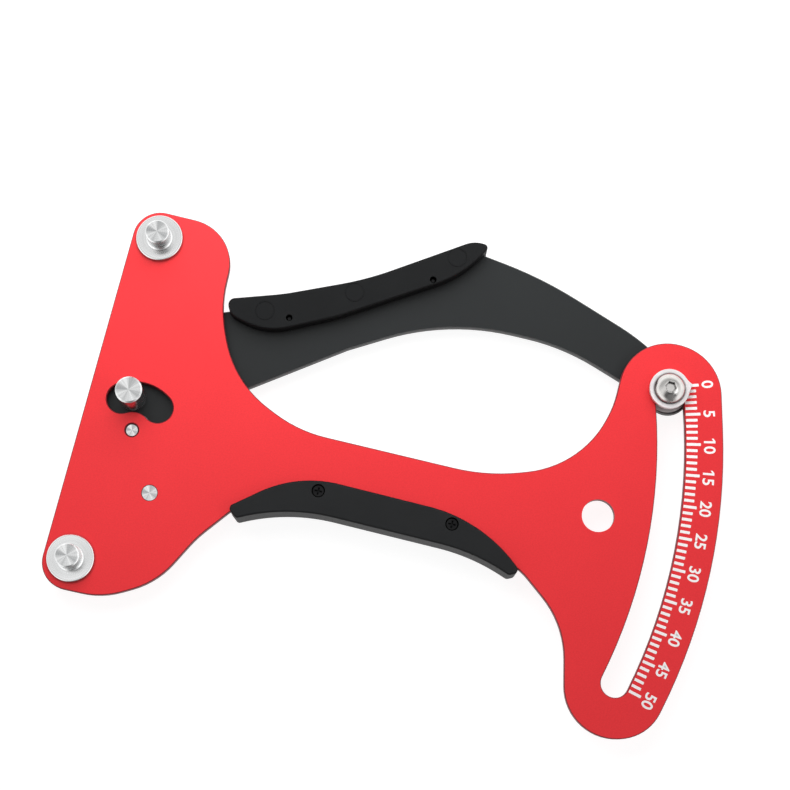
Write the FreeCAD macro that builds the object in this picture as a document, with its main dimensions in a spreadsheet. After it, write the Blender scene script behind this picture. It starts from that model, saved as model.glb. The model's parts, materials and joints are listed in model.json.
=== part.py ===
import FreeCAD, Part
import math
import os
from types import SimpleNamespace

import Sketcher

# Spoke tension meter: a red plate with two fixed posts and a curved scale, and a black
# arm behind it that carries the moving post, the pointer and the upper grip. Squeezing
# the two grips turns the arm clockwise about the pivot, against an extension spring.
# Millimetres. Seen from the front (+Z), the scale is on the right (+X). Outlines are
# drawn about the pivot axis, with the arm at rest and the pointer at 0.

SIZES = {
    # plates
    "plate_thickness": 3.0,
    "plate_gap": 0.5,
    "running_gap": 0.1,
    "plate_chamfer": 0.25,
    # pivot, arm and scale
    "pointer_radius": 162.0,
    "rest_angle": 18.3,
    "sweep_angle": 32.1,
    "scale_width": 15.65,
    "lobe_margin": 15.0,
    "upper_blend_angle": 4.12,
    "lower_blend_angle": -0.42,
    # fixed posts
    "post_offset": 7.3,
    "upper_post_rise": 59.25,
    "lower_post_drop": 41.6,
    "post_margin": 8.3,
    "head_top_margin": 8.35,
    "head_bottom_margin": 9.5,
    "flange_radius": 7.0,
    "flange_thickness": 1.5,
    "stub_radius": 3.6,
    "stub_height": 7.1,
    "stub_root_cone": 0.4,
    "stub_chamfer": 0.45,
    "tapped_hole_spare": 0.7,
    "post_edge_break": 0.2,
    # moving post and its kidney slot
    "moving_post_radius": 4.0,
    "moving_post_height": 14.5,
    "moving_post_swing": 10.2,
    "moving_post_angle": 13.8,
    "kidney_clearance": 0.6,
    "kidney_right_angle": 55.2,
    "kidney_left_angle": 122.4,
    # pivot pin, washers and clip
    "pivot_radius": 2.5,
    "pivot_tenon_radius": 2.0,
    "pivot_tenon_sink": 0.6,
    "pivot_tenon_break": 0.25,
    "pivot_clearance": 0.05,
    "seat_clearance": 0.03,
    "pivot_washer_radius": 5.8,
    "rear_washer_radius": 4.8,
    "rear_washer_thickness": 0.5,
    "clip_radius": 4.65,
    "clip_thickness": 0.7,
    "clip_mouth": 3.6,
    "groove_depth": 0.5,
    "pin_tail": 0.8,
    "edge_break": 0.15,
    # return spring and its two posts
    "spring_post_radius": 2.45,
    "spring_groove_radius": 1.3,
    "spring_groove_width": 2.4,
    "spring_axis_height": 2.35,
    "body_spring_x": 10.15,
    "body_spring_y": -17.1,
    "arm_spring_x": -9.5,
    "arm_spring_y": -6.5,
    "arm_rivet_radius": 2.0,
    "arm_lobe_radius": 3.75,
    "wire_radius": 0.45,
    "coil_radius": 1.8,
    "loop_clearance": 0.1,
    "coil_shoulder": 4.3,
    # pointer stack
    "bush_radius": 4.0,
    "bush_clearance": 0.2,
    "slot_washer_radius": 6.25,
    "pointer_washer_radius": 5.5,
    "pointer_washer_thickness": 1.0,
    "pointer_disc_radius": 6.0,
    "pointer_tip_reach": 7.15,
    "pointer_flank_radius": 7.0,
    "pointer_turn": 5.0,
    "pointer_thickness": 1.5,
    "pointer_hole_clearance": 0.1,
    "arm_end_radius": 7.0,
    "arm_end_slope": -28.0,
    "nut_height": 4.7,
    "nut_across_flats": 8.0,
    # button-head screws: M5 at the pointer, M4 behind the posts
    "pointer_screw_radius": 2.5,
    "pointer_head_radius": 4.7,
    "pointer_head_height": 2.75,
    "pointer_screw_length": 12.0,
    "pointer_socket_flats": 3.0,
    "pointer_socket_depth": 1.6,
    "post_screw_radius": 2.0,
    "post_head_radius": 3.8,
    "post_head_height": 2.2,
    "post_screw_length": 8.0,
    "post_socket_flats": 2.5,
    "post_socket_depth": 1.3,
    "screw_hole_clearance": 0.15,
    "thread_clearance": 0.03,
    # grips
    "grip_cover": 4.7,
    "grip_lip": 1.6,
    "grip_fit": 0.15,
    "grip_edge_round": 0.6,
    "counterbore_radius": 2.0,
    "counterbore_depth": 2.2,
    "grip_head_radius": 1.8,
    "grip_head_height": 1.4,
    "grip_screw_radius": 1.0,
    "grip_screw_length": 8.6,
    "grip_hole_clearance": 0.15,
    "pilot_clearance": 0.02,
    "recess_width": 0.5,
    "recess_depth": 0.7,
    "ring_radius": 3.0,
    "ring_width": 0.35,
    "ring_depth": 0.15,
    # holes
    "hanging_hole_radius": 4.9,
}

COIL_TURNS = 10

# Outlines as corner places and corner roundings, all shares of the pointer radius.
WAIST_TOP_SHARES = [
    (0.099, 0.267, 0.252),
    (0.161, 0.1327, 0.211),
    (0.299, 0.0731, 0.253),
    (0.658, 0.0754, 0.368),
    (0.822, 0.1343, 0.193),
    (0.8574, 0.262, 0.191),
]
WAIST_RIGHT_SHARES = [
    (0.858, -0.1565, 0.175),
    (0.750, -0.0733, 0.110),
]
WAIST_LEFT_SHARES = [
    (0.217, -0.1006, 0.0286),
    (0.1677, -0.165, 0.214),
    (0.118, -0.2613, 0.154),
    (0.028, -0.3125, 0.152),
]
ARM_TOP_SHARES = [
    (0.102, 0.261, 0.012),
    (0.190, 0.296, 0.407),
    (0.416, 0.404, 0.568),
    (0.522, 0.493, 0.049),
    (0.672, 0.473, 0.770),
    (0.864, 0.407, 0.370),
]
ARM_BOTTOM_SHARES = [
    (0.896, 0.302, 0.230),
    (0.741, 0.354, 0.415),
    (0.519, 0.352, 0.454),
    (0.349, 0.250, 0.070),
    (0.086, 0.0585, 0.080),
    (0.071, -0.0555, 0.037),
]
UPPER_GRIP_SHARES = [
    (0.110, 0.284, 0.016),
    (0.209, 0.318, 0.408),
    (0.3525, 0.383, 0.583),
    (0.533, 0.5055, 0.080),
    (0.563, 0.502, 0.011),
    (0.529, 0.436, 0.212),
    (0.315, 0.2985, 0.371),
    (0.1935, 0.237, 0.117),
    (0.118, 0.256, 0.0375),
]
LOWER_GRIP_SHARES = [
    (0.210, -0.099, 0.0086),
    (0.320, -0.009, 0.217),
    (0.666, -0.010, 0.277),
    (0.759, -0.087, 0.009),
    (0.738, -0.0975, 0.009),
    (0.667, -0.072, 0.371),
    (0.315, -0.072, 0.362),
    (0.231, -0.116, 0.007),
]
UPPER_SCREW_SHARES = [(0.230, 0.2755), (0.474, 0.412)]
LOWER_SCREW_SHARES = [(0.3643, -0.0306), (0.6159, -0.0312)]
RING_SHARES = [(0.183, 0.277), (0.337, 0.352), (0.508, 0.464)]
HANGING_HOLE_SHARE = (0.874, 0.0525)

# The most of a straight side that its two corners' roundings may take.
SIDE_USE = 0.98

# Corners round the two ends of the scale slot, in shares of the lobe margin.
UPPER_LOBE_SHARE = (-0.97, 1.02, 1.0)
UPPER_BLEND_SHARE = (1.46, 1.06)
LOWER_BLEND_SHARE = (-0.566, 0.947)
LOWER_LOBE_SHARE = (-0.728, -1.328, 1.012)

# The curve of a button head, in shares of its radius and height.
BUTTON_HEAD_SHARES = [(1.0, 0.15), (0.93, 0.5), (0.78, 0.82), (0.55, 1.0)]

# The rise of a thirty degree bevel for each unit along it.
BEVEL_RISE = 0.577

doc = FreeCAD.newDocument("SpokeTensionMeter")


# The sheet of driving dimensions.
def fill_sheet():
    sheet = doc.addObject("Spreadsheet::Sheet", "Sizes")
    for row, (alias, value) in enumerate(SIZES.items(), start=1):
        sheet.set(f"A{row}", alias)
        sheet.set(f"B{row}", str(value))
        sheet.setAlias(f"B{row}", alias)
    doc.recompute()
    return sheet


class Size:
    """A length that carries its number and its formula in the sheet."""

    def __init__(self, number, formula):
        self.number = float(number)
        self.formula = formula

    def __add__(self, other):
        return Size(self.number + other.number, f"({self.formula} + {other.formula})")

    def __sub__(self, other):
        return Size(self.number - other.number, f"({self.formula} - {other.formula})")

    def __neg__(self):
        return Size(-self.number, f"(0 - {self.formula})")

    def __mul__(self, share):
        return Size(self.number * share, f"({self.formula} * {share})")


sheet = fill_sheet()
size = SimpleNamespace(**{alias: Size(getattr(sheet, alias), f"Sizes.{alias}") for alias in SIZES})
mm = SimpleNamespace(**{alias: float(getattr(sheet, alias)) for alias in SIZES})
NOTHING = Size(0, "0")

# Heights of the plates' rear faces and of the planes between the grip halves.
arm_level = size.grip_cover
plate_level = size.grip_cover + size.plate_thickness + size.plate_gap
arm_middle = arm_level + size.plate_thickness * 0.5
plate_middle = plate_level + size.plate_thickness * 0.5


# Places and outlines.
def polar(radius, degrees):
    angle = math.radians(degrees)
    return radius * math.cos(angle), radius * math.sin(angle)


def polar_size(radius, angle, offset=0):
    """The same with formulas of the sheet; the angle is in degrees."""
    x, y = polar(radius.number, angle.number + offset)
    degrees = f"({angle.formula} + {offset})"
    return (
        Size(x, f"({radius.formula} * cos({degrees}))"),
        Size(y, f"({radius.formula} * sin({degrees}))"),
    )


def from_shares(shares):
    return [tuple(share * mm.pointer_radius for share in corner) for corner in shares]


def lobe_corner(centre, shares):
    x_share, y_share, round_share = shares
    margin = mm.lobe_margin
    return centre[0] + x_share * margin, centre[1] + y_share * margin, round_share * margin


def outer_corner(degrees, shares):
    """A corner on the tangent to the scale's outer edge at an angle, a way beyond it."""
    beyond_share, round_share = shares
    x, y = polar(mm.pointer_radius + mm.scale_width, degrees)
    along_x, along_y = polar(beyond_share * mm.lobe_margin, degrees + 90)
    return x + along_x, y + along_y, round_share * mm.lobe_margin


def scale_corners():
    """The right end of the red plate, clockwise round the scale slot."""
    top = polar(mm.pointer_radius, mm.rest_angle)
    bottom = polar(mm.pointer_radius, mm.rest_angle - mm.sweep_angle)
    arc_start = mm.rest_angle - mm.upper_blend_angle
    arc_end = mm.rest_angle - mm.sweep_angle + mm.lower_blend_angle
    middle = (arc_start + arc_end) / 2
    half = math.radians(arc_start - arc_end) / 2
    outer = mm.pointer_radius + mm.scale_width
    apex = polar(outer / math.cos(half), middle)
    return [
        lobe_corner(top, UPPER_LOBE_SHARE),
        outer_corner(arc_start, UPPER_BLEND_SHARE),
        (apex[0], apex[1], outer),
        outer_corner(arc_end, LOWER_BLEND_SHARE),
        lobe_corner(bottom, LOWER_LOBE_SHARE),
    ]


def body_plate_corners():
    """The red plate's outline, clockwise from the upper left."""
    left = -(mm.post_offset + mm.post_margin)
    top = mm.upper_post_rise + mm.head_top_margin
    bottom = -(mm.lower_post_drop + mm.head_bottom_margin)
    hidden_edge = [
        (x, y + mm.grip_lip, rounding) for x, y, rounding in from_shares(LOWER_GRIP_SHARES[5:7])
    ]
    return [
        (left, top, mm.post_margin),
        (-left, top, 1.7 * mm.post_margin),
        *from_shares(WAIST_TOP_SHARES),
        *scale_corners(),
        *from_shares(WAIST_RIGHT_SHARES),
        *hidden_edge,
        *from_shares(WAIST_LEFT_SHARES),
        (left, bottom, mm.post_margin),
    ]


def arm_plate_corners():
    """The arm's outline, clockwise from behind the kidney slot."""
    bolt = polar(mm.pointer_radius, mm.rest_angle)
    along = polar(mm.arm_end_radius, mm.arm_end_slope)
    across = polar(mm.arm_end_radius, mm.arm_end_slope + 90)
    lobe = mm.arm_lobe_radius
    left = mm.arm_spring_x - lobe
    kidney_top = mm.moving_post_swing + mm.moving_post_radius + mm.kidney_clearance
    return [
        (left, kidney_top + 0.7 * lobe, 2.1 * lobe),
        *from_shares(ARM_TOP_SHARES),
        (bolt[0] + along[0] + across[0], bolt[1] + along[1] + across[1], mm.arm_end_radius),
        (bolt[0] + along[0] - across[0], bolt[1] + along[1] - across[1], mm.arm_end_radius),
        *from_shares(ARM_BOTTOM_SHARES),
        (mm.arm_spring_x + lobe, mm.arm_spring_y - 1.35 * lobe, lobe),
        (left, mm.arm_spring_y - lobe, lobe),
    ]


def grown(corners, distance):
    """The same outline, moved outwards by a distance on all sides."""
    out = []
    count = len(corners)
    for index, (x, y, rounding) in enumerate(corners):
        before = corners[index - 1]
        after = corners[(index + 1) % count]
        side_in = FreeCAD.Vector(x - before[0], y - before[1], 0).normalize()
        side_out = FreeCAD.Vector(after[0] - x, after[1] - y, 0).normalize()
        normal_in = FreeCAD.Vector(-side_in.y, side_in.x, 0)
        normal_out = FreeCAD.Vector(-side_out.y, side_out.x, 0)
        step = (normal_in + normal_out) * (distance / (1 + normal_in.dot(normal_out)))
        clockwise_turn = side_in.cross(side_out).z < 0
        new_rounding = rounding + distance if clockwise_turn else max(rounding - distance, 0)
        out.append((x + step.x, y + step.y, new_rounding))
    return out


# Building blocks: bodies, sketches and features.
places = []
sub_parts = []


def new_body(label, x=NOTHING, y=NOTHING, z=NOTHING):
    """A body at a place given from the pivot axis and the plane that the tool lies on."""
    body = doc.addObject("PartDesign::Body", label)
    body.Label = label
    places.append((body, x, y, z))
    return body


def sub_part(label, x=NOTHING, y=NOTHING, z=NOTHING):
    """A body that is a node of its own."""
    body = new_body(label, x, y, z)
    sub_parts.append(body)
    return body


def new_sketch(body, name, role="XY_Plane", height=None):
    plane = [item for item in body.Origin.OriginFeatures if item.Role == role][0]
    sketch = body.newObject("Sketcher::SketchObject", name)
    sketch.AttachmentSupport = [(plane, "")]
    sketch.MapMode = "FlatFace"
    if height is not None:
        sketch.setExpression(".AttachmentOffset.Base.z", height.formula)
    return sketch


def bind(sketch, kind, geometry, point, length):
    """Hold one coordinate of a point to a formula of the sheet."""
    index = sketch.addConstraint(
        Sketcher.Constraint(kind, -1, 1, geometry, point, length.number)
    )
    sketch.setExpression(f"Constraints[{index}]", length.formula)


def add_circle(sketch, x, y, radius):
    centre = FreeCAD.Vector(x.number, y.number, 0)
    circle = sketch.addGeometry(Part.Circle(centre, FreeCAD.Vector(0, 0, 1), radius.number))
    index = sketch.addConstraint(Sketcher.Constraint("Radius", circle, radius.number))
    sketch.setExpression(f"Constraints[{index}]", radius.formula)
    bind(sketch, "DistanceX", circle, 3, x)
    bind(sketch, "DistanceY", circle, 3, y)


def place_at(shares):
    """A place given in shares of the pointer radius."""
    x_share, y_share = shares
    return size.pointer_radius * x_share, size.pointer_radius * y_share


def add_circles_at(sketch, places_shares, radius):
    """Equal circles at places given in shares of the pointer radius."""
    for shares in places_shares:
        add_circle(sketch, *place_at(shares), radius)


def add_profile(sketch, points):
    """A closed outline of straight sides, each corner held to the sheet."""
    count = len(points)
    for index, (x, y) in enumerate(points):
        next_x, next_y = points[(index + 1) % count]
        start = FreeCAD.Vector(x.number, y.number, 0)
        end = FreeCAD.Vector(next_x.number, next_y.number, 0)
        sketch.addGeometry(Part.LineSegment(start, end))
    for index, (x, y) in enumerate(points):
        previous = (index - 1) % count
        sketch.addConstraint(Sketcher.Constraint("Coincident", previous, 2, index, 1))
        bind(sketch, "DistanceX", index, 1, x)
        bind(sketch, "DistanceY", index, 1, y)


def corner_sides(corners, index):
    """A corner, the directions to its neighbours and half the angle between them."""
    corner = FreeCAD.Vector(*corners[index][:2], 0)
    before = FreeCAD.Vector(*corners[index - 1][:2], 0)
    after = FreeCAD.Vector(*corners[(index + 1) % len(corners)][:2], 0)
    to_before = (before - corner).normalize()
    to_after = (after - corner).normalize()
    return corner, to_before, to_after, to_before.getAngle(to_after) / 2


def setbacks(corners):
    """How far each rounding reaches along its sides, kept within the sides' lengths."""
    count = len(corners)
    wanted = []
    for index in range(count):
        half = corner_sides(corners, index)[3]
        wanted.append(corners[index][2] / math.tan(half))
    allowed = list(wanted)
    for index in range(count):
        after = (index + 1) % count
        side = math.dist(corners[index][:2], corners[after][:2])
        both = wanted[index] + wanted[after]
        if both > SIDE_USE * side:
            fit = SIDE_USE * side / both
            allowed[index] = min(allowed[index], wanted[index] * fit)
            allowed[after] = min(allowed[after], wanted[after] * fit)
    return allowed


def add_outline(sketch, corners):
    """A closed outline of straight sides with round corners."""
    count = len(corners)
    reaches = setbacks(corners)
    ends = []
    for index in range(count):
        corner, to_before, to_after, half = corner_sides(corners, index)
        start = corner + to_before * reaches[index]
        end = corner + to_after * reaches[index]
        rounding = reaches[index] * math.tan(half)
        bisector = (to_before + to_after).normalize()
        middle = corner + bisector * (rounding / math.sin(half) - rounding)
        sketch.addGeometry(Part.Arc(start, middle, end))
        ends.append((start, end))
    for index in range(count):
        sketch.addGeometry(Part.LineSegment(ends[index][1], ends[(index + 1) % count][0]))


def add_arc_slot(sketch, radius, half_width, first_angle, last_angle):
    """A slot of even width about the origin, with round ends, angles anticlockwise."""
    inner = [FreeCAD.Vector(*polar(radius - half_width, angle), 0) for angle in (first_angle, last_angle)]
    outer = [FreeCAD.Vector(*polar(radius + half_width, angle), 0) for angle in (first_angle, last_angle)]
    middle_angle = (first_angle + last_angle) / 2
    inner_middle = FreeCAD.Vector(*polar(radius - half_width, middle_angle), 0)
    outer_middle = FreeCAD.Vector(*polar(radius + half_width, middle_angle), 0)
    caps = []
    for angle, outwards in ((first_angle, -90), (last_angle, 90)):
        centre = FreeCAD.Vector(*polar(radius, angle), 0)
        caps.append(centre + FreeCAD.Vector(*polar(half_width, angle + outwards), 0))
    sketch.addGeometry(Part.Arc(inner[0], inner_middle, inner[1]))
    sketch.addGeometry(Part.Arc(inner[1], caps[1], outer[1]))
    sketch.addGeometry(Part.Arc(outer[1], outer_middle, outer[0]))
    sketch.addGeometry(Part.Arc(outer[0], caps[0], inner[0]))


def add_hexagon(sketch, x, y, across_flats):
    """A hexagon with each corner held to the sheet."""
    corner_share = 1 / math.sqrt(3)
    points = []
    for index in range(6):
        x_share, y_share = polar(corner_share, 60 * index)
        points.append((x + across_flats * round(x_share, 6), y + across_flats * round(y_share, 6)))
    start = len(sketch.Geometry)
    for index in range(6):
        here = FreeCAD.Vector(points[index][0].number, points[index][1].number, 0)
        there = points[(index + 1) % 6]
        there = FreeCAD.Vector(there[0].number, there[1].number, 0)
        sketch.addGeometry(Part.LineSegment(here, there))
    for index in range(6):
        previous = start + (index - 1) % 6
        sketch.addConstraint(Sketcher.Constraint("Coincident", previous, 2, start + index, 1))
        bind(sketch, "DistanceX", start + index, 1, points[index][0])
        bind(sketch, "DistanceY", start + index, 1, points[index][1])


def add_cross(sketch, reach, half_width):
    """A plus-shaped outline with arms of even width."""
    points = [
        (half_width, half_width),
        (half_width, reach),
        (-half_width, reach),
        (-half_width, half_width),
        (-reach, half_width),
        (-reach, -half_width),
        (-half_width, -half_width),
        (-half_width, -reach),
        (half_width, -reach),
        (half_width, -half_width),
        (reach, -half_width),
        (reach, half_width),
    ]
    add_profile(sketch, points)


def add_disc_with_tip(sketch, radius, reach, flank):
    """A disc with a tip along +X, its two sides hollow arcs that leave the disc smoothly."""
    away = radius + flank
    turn = math.degrees(math.acos((away**2 + reach**2 - flank**2) / (2 * away * reach)))
    tip = FreeCAD.Vector(reach, 0, 0)
    ends = []
    for side in (turn, -turn):
        centre = FreeCAD.Vector(*polar(away, side), 0)
        end = FreeCAD.Vector(*polar(radius, side), 0)
        towards = ((end - centre) + (tip - centre)).normalize()
        sketch.addGeometry(Part.Arc(end, centre + towards * flank, tip))
        ends.append(end)
    sketch.addGeometry(Part.Arc(ends[0], FreeCAD.Vector(-radius, 0, 0), ends[1]))


def pad(body, sketch, length, down=False):
    feature = body.newObject("PartDesign::Pad", sketch.Name + "Pad")
    feature.Profile = sketch
    feature.setExpression("Length", length.formula)
    feature.Reversed = down
    return feature


def pocket(body, sketch, length, up=True):
    """A cut from the sketch's plane, which has to take material away."""
    doc.recompute()
    volume_before = body.Shape.Volume
    feature = body.newObject("PartDesign::Pocket", sketch.Name + "Pocket")
    feature.Profile = sketch
    feature.setExpression("Length", length.formula)
    feature.Reversed = up
    doc.recompute()
    if not body.Shape.Volume < volume_before:
        raise ValueError(f"{sketch.Name} cuts nothing")
    return feature


def revolve(body, sketch):
    feature = body.newObject("PartDesign::Revolution", sketch.Name + "Revolution")
    feature.Profile = sketch
    feature.ReferenceAxis = (sketch, ["V_Axis"])
    feature.Angle = 360
    return feature


def groove(body, sketch):
    """A turned cut about the body's own axis."""
    doc.recompute()
    volume_before = body.Shape.Volume
    feature = body.newObject("PartDesign::Groove", sketch.Name + "Groove")
    feature.Profile = sketch
    feature.ReferenceAxis = (sketch, ["V_Axis"])
    feature.Angle = 360
    doc.recompute()
    if not body.Shape.Volume < volume_before:
        raise ValueError(f"{sketch.Name} cuts nothing")


def edges_at(shape, height):
    """The names of the edges that lie in a level plane."""
    near = 1e-4 * mm.plate_thickness
    names = []
    for index, edge in enumerate(shape.Edges, start=1):
        box = edge.BoundBox
        if abs(box.ZMin - height) < near and abs(box.ZMax - height) < near:
            names.append(f"Edge{index}")
    return names


def break_edges(body, kind, base, height, amount):
    """A chamfer or fillet along all edges of one level face."""
    doc.recompute()
    feature = body.newObject(f"PartDesign::{kind}", f"{kind}{len(body.Group)}")
    feature.Base = (base, edges_at(base.Shape, height))
    feature.setExpression("Size" if kind == "Chamfer" else "Radius", amount.formula)
    doc.recompute()
    return feature


# The red plate and what it carries.
def body_plate():
    body = sub_part("body_plate", z=plate_level)
    outline = new_sketch(body, "PlateOutline")
    add_outline(outline, body_plate_corners())
    pad(body, outline, size.plate_thickness)

    slots = new_sketch(body, "PlateSlots")
    kidney_half_width = mm.moving_post_radius + mm.kidney_clearance
    add_arc_slot(
        slots,
        mm.moving_post_swing,
        kidney_half_width,
        mm.kidney_right_angle,
        mm.kidney_left_angle,
    )
    add_arc_slot(
        slots,
        mm.pointer_radius,
        mm.bush_radius + mm.bush_clearance,
        mm.rest_angle - mm.sweep_angle,
        mm.rest_angle,
    )
    add_circle(slots, NOTHING, NOTHING, size.pivot_tenon_radius + size.seat_clearance)
    cut = pocket(body, slots, size.plate_thickness)

    front = break_edges(body, "Chamfer", cut, mm.plate_thickness, size.plate_chamfer)
    break_edges(body, "Chamfer", front, 0, size.plate_chamfer)

    holes = new_sketch(body, "PlateHoles")
    post_hole = size.post_screw_radius + size.screw_hole_clearance
    add_circle(holes, -size.post_offset, size.upper_post_rise, post_hole)
    add_circle(holes, -size.post_offset, -size.lower_post_drop, post_hole)
    spring_hole = size.spring_post_radius + size.seat_clearance
    add_circle(holes, size.body_spring_x, size.body_spring_y, spring_hole)
    add_circles_at(holes, [HANGING_HOLE_SHARE], size.hanging_hole_radius)
    add_circles_at(holes, LOWER_SCREW_SHARES, size.grip_screw_radius + size.grip_hole_clearance)
    pocket(body, holes, size.plate_thickness)


def fixed_post(label, y):
    """A flanged post turned from one bar, with a tapped hole from behind."""
    body = sub_part(label, -size.post_offset, y, plate_level + size.plate_thickness)
    top = size.flange_thickness + size.stub_height
    profile = new_sketch(body, label + "_profile", "XZ_Plane")
    add_profile(
        profile,
        [
            (NOTHING, NOTHING),
            (size.flange_radius, NOTHING),
            (size.flange_radius, size.flange_thickness - size.post_edge_break),
            (size.flange_radius - size.post_edge_break, size.flange_thickness),
            (size.stub_radius + size.stub_root_cone, size.flange_thickness),
            (size.stub_radius, size.flange_thickness + size.stub_root_cone),
            (size.stub_radius, top - size.stub_chamfer),
            (size.stub_radius - size.stub_chamfer, top),
            (NOTHING, top),
        ],
    )
    revolve(body, profile)
    tapped = new_sketch(body, label + "_hole")
    add_circle(tapped, NOTHING, NOTHING, size.post_screw_radius + size.thread_clearance)
    pocket(body, tapped, size.post_screw_length - size.plate_thickness + size.tapped_hole_spare)


def button_screw(label, place, shank, head, socket, head_up):
    """A button-head socket screw; the seat of its head is at the body's origin."""
    radius, length = shank
    head_radius, head_height = head
    flats, depth = socket
    sign = 1 if head_up else -1
    body = new_body(label, *place)
    tip = length * -sign
    profile = new_sketch(body, label + "_profile", "XZ_Plane")
    add_profile(
        profile,
        [
            (NOTHING, tip),
            (radius - size.edge_break, tip),
            (radius, tip + size.edge_break * sign),
            (radius, NOTHING),
            (head_radius, NOTHING),
            *[
                (head_radius * radius_share, head_height * (height_share * sign))
                for radius_share, height_share in BUTTON_HEAD_SHARES
            ],
            (NOTHING, head_height * sign),
        ],
    )
    revolve(body, profile)
    hexagon = new_sketch(body, label + "_socket", height=head_height * sign)
    add_hexagon(hexagon, NOTHING, NOTHING, flats)
    pocket(body, hexagon, depth, up=not head_up)
    return body


def group(label, pieces):
    """Equal pieces that share one node, each still a solid of its own."""
    compound = doc.addObject("Part::Compound", label)
    compound.Label = label
    compound.Links = pieces
    sub_parts.append(compound)


def post_screw(label, x, y, z):
    return button_screw(
        label,
        (x, y, z),
        (size.post_screw_radius, size.post_screw_length),
        (size.post_head_radius, size.post_head_height),
        (size.post_socket_flats, size.post_socket_depth),
        head_up=False,
    )


def fixed_post_screws():
    group(
        "fixed_post_screws",
        [
            post_screw("upper_post_screw", -size.post_offset, size.upper_post_rise, plate_level),
            post_screw("lower_post_screw", -size.post_offset, -size.lower_post_drop, plate_level),
        ],
    )


def ring(label, place, outer_radius, bore_radius, thickness):
    """A plain washer or bush."""
    body = sub_part(label, *place)
    sketch = new_sketch(body, label + "_outline")
    add_circle(sketch, NOTHING, NOTHING, outer_radius)
    add_circle(sketch, NOTHING, NOTHING, bore_radius)
    pad(body, sketch, thickness)


def pivot_pin():
    """Tenon in the red plate, shaft through the arm, groove for the clip behind it."""
    body = sub_part("pivot_pin", z=plate_level)
    tenon_top = size.plate_thickness - size.pivot_tenon_sink
    washer_top = -(size.plate_gap + size.plate_thickness + size.running_gap * 0.5)
    clip_top = washer_top - size.rear_washer_thickness
    clip_bottom = clip_top - size.clip_thickness
    groove_bottom = clip_bottom - size.seat_clearance
    groove_radius = size.pivot_radius - size.groove_depth
    end = groove_bottom - size.pin_tail
    profile = new_sketch(body, "pivot_profile", "XZ_Plane")
    add_profile(
        profile,
        [
            (NOTHING, end),
            (size.pivot_radius - size.edge_break, end),
            (size.pivot_radius, end + size.edge_break),
            (size.pivot_radius, groove_bottom),
            (groove_radius, groove_bottom),
            (groove_radius, clip_top),
            (size.pivot_radius, clip_top),
            (size.pivot_radius, NOTHING),
            (size.pivot_tenon_radius, NOTHING),
            (size.pivot_tenon_radius, tenon_top - size.pivot_tenon_break),
            (size.pivot_tenon_radius - size.pivot_tenon_break, tenon_top),
            (NOTHING, tenon_top),
        ],
    )
    revolve(body, profile)

    washer_thickness = size.plate_gap - size.running_gap
    shaft_bore = size.pivot_radius + size.seat_clearance
    ring(
        "pivot_washer",
        (NOTHING, NOTHING, plate_level - washer_thickness),
        size.pivot_washer_radius,
        shaft_bore,
        washer_thickness,
    )
    ring(
        "pivot_rear_washer",
        (NOTHING, NOTHING, plate_level + clip_top),
        size.rear_washer_radius,
        shaft_bore,
        size.rear_washer_thickness,
    )

    clip = sub_part("pivot_clip", z=plate_level + clip_bottom)
    disc = new_sketch(clip, "clip_outline")
    add_circle(disc, NOTHING, NOTHING, size.clip_radius)
    add_circle(disc, NOTHING, NOTHING, groove_radius + size.seat_clearance)
    pad(clip, disc, size.clip_thickness)
    mouth = new_sketch(clip, "clip_mouth")
    half_mouth = size.clip_mouth * 0.5
    add_profile(
        mouth,
        [
            (-half_mouth, NOTHING),
            (half_mouth, NOTHING),
            (half_mouth, -size.clip_radius),
            (-half_mouth, -size.clip_radius),
        ],
    )
    pocket(clip, mouth, size.clip_thickness)


def spring_post(label, x, y, upper_points):
    """A turned post with a groove for the spring's loop; its rear end touches the table."""
    body = sub_part(label, x, y)
    radius = size.spring_post_radius
    groove = size.spring_groove_radius
    groove_bottom = size.spring_axis_height - size.spring_groove_width * 0.5
    groove_top = size.spring_axis_height + size.spring_groove_width * 0.5
    profile = new_sketch(body, label + "_profile", "XZ_Plane")
    add_profile(
        profile,
        [
            (NOTHING, NOTHING),
            (radius - size.edge_break, NOTHING),
            (radius, size.edge_break),
            (radius, groove_bottom),
            (groove, groove_bottom),
            (groove, groove_top),
            (radius, groove_top),
            *upper_points,
        ],
    )
    revolve(body, profile)


def body_spring_post():
    top = plate_level + size.plate_thickness
    spring_post(
        "body_spring_post",
        size.body_spring_x,
        size.body_spring_y,
        [
            (size.spring_post_radius, top - size.edge_break),
            (size.spring_post_radius - size.edge_break, top),
            (NOTHING, top),
        ],
    )


def arm_spring_post():
    top = arm_level + size.plate_thickness
    spring_post(
        "arm_spring_post",
        size.arm_spring_x,
        size.arm_spring_y,
        [
            (size.spring_post_radius, arm_level),
            (size.arm_rivet_radius, arm_level),
            (size.arm_rivet_radius, top),
            (NOTHING, top),
        ],
    )


# The arm and what it carries.
def moving_post_place():
    return polar_size(size.moving_post_swing, size.moving_post_angle, 90)


def pointer_place():
    return polar_size(size.pointer_radius, size.rest_angle)


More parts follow.
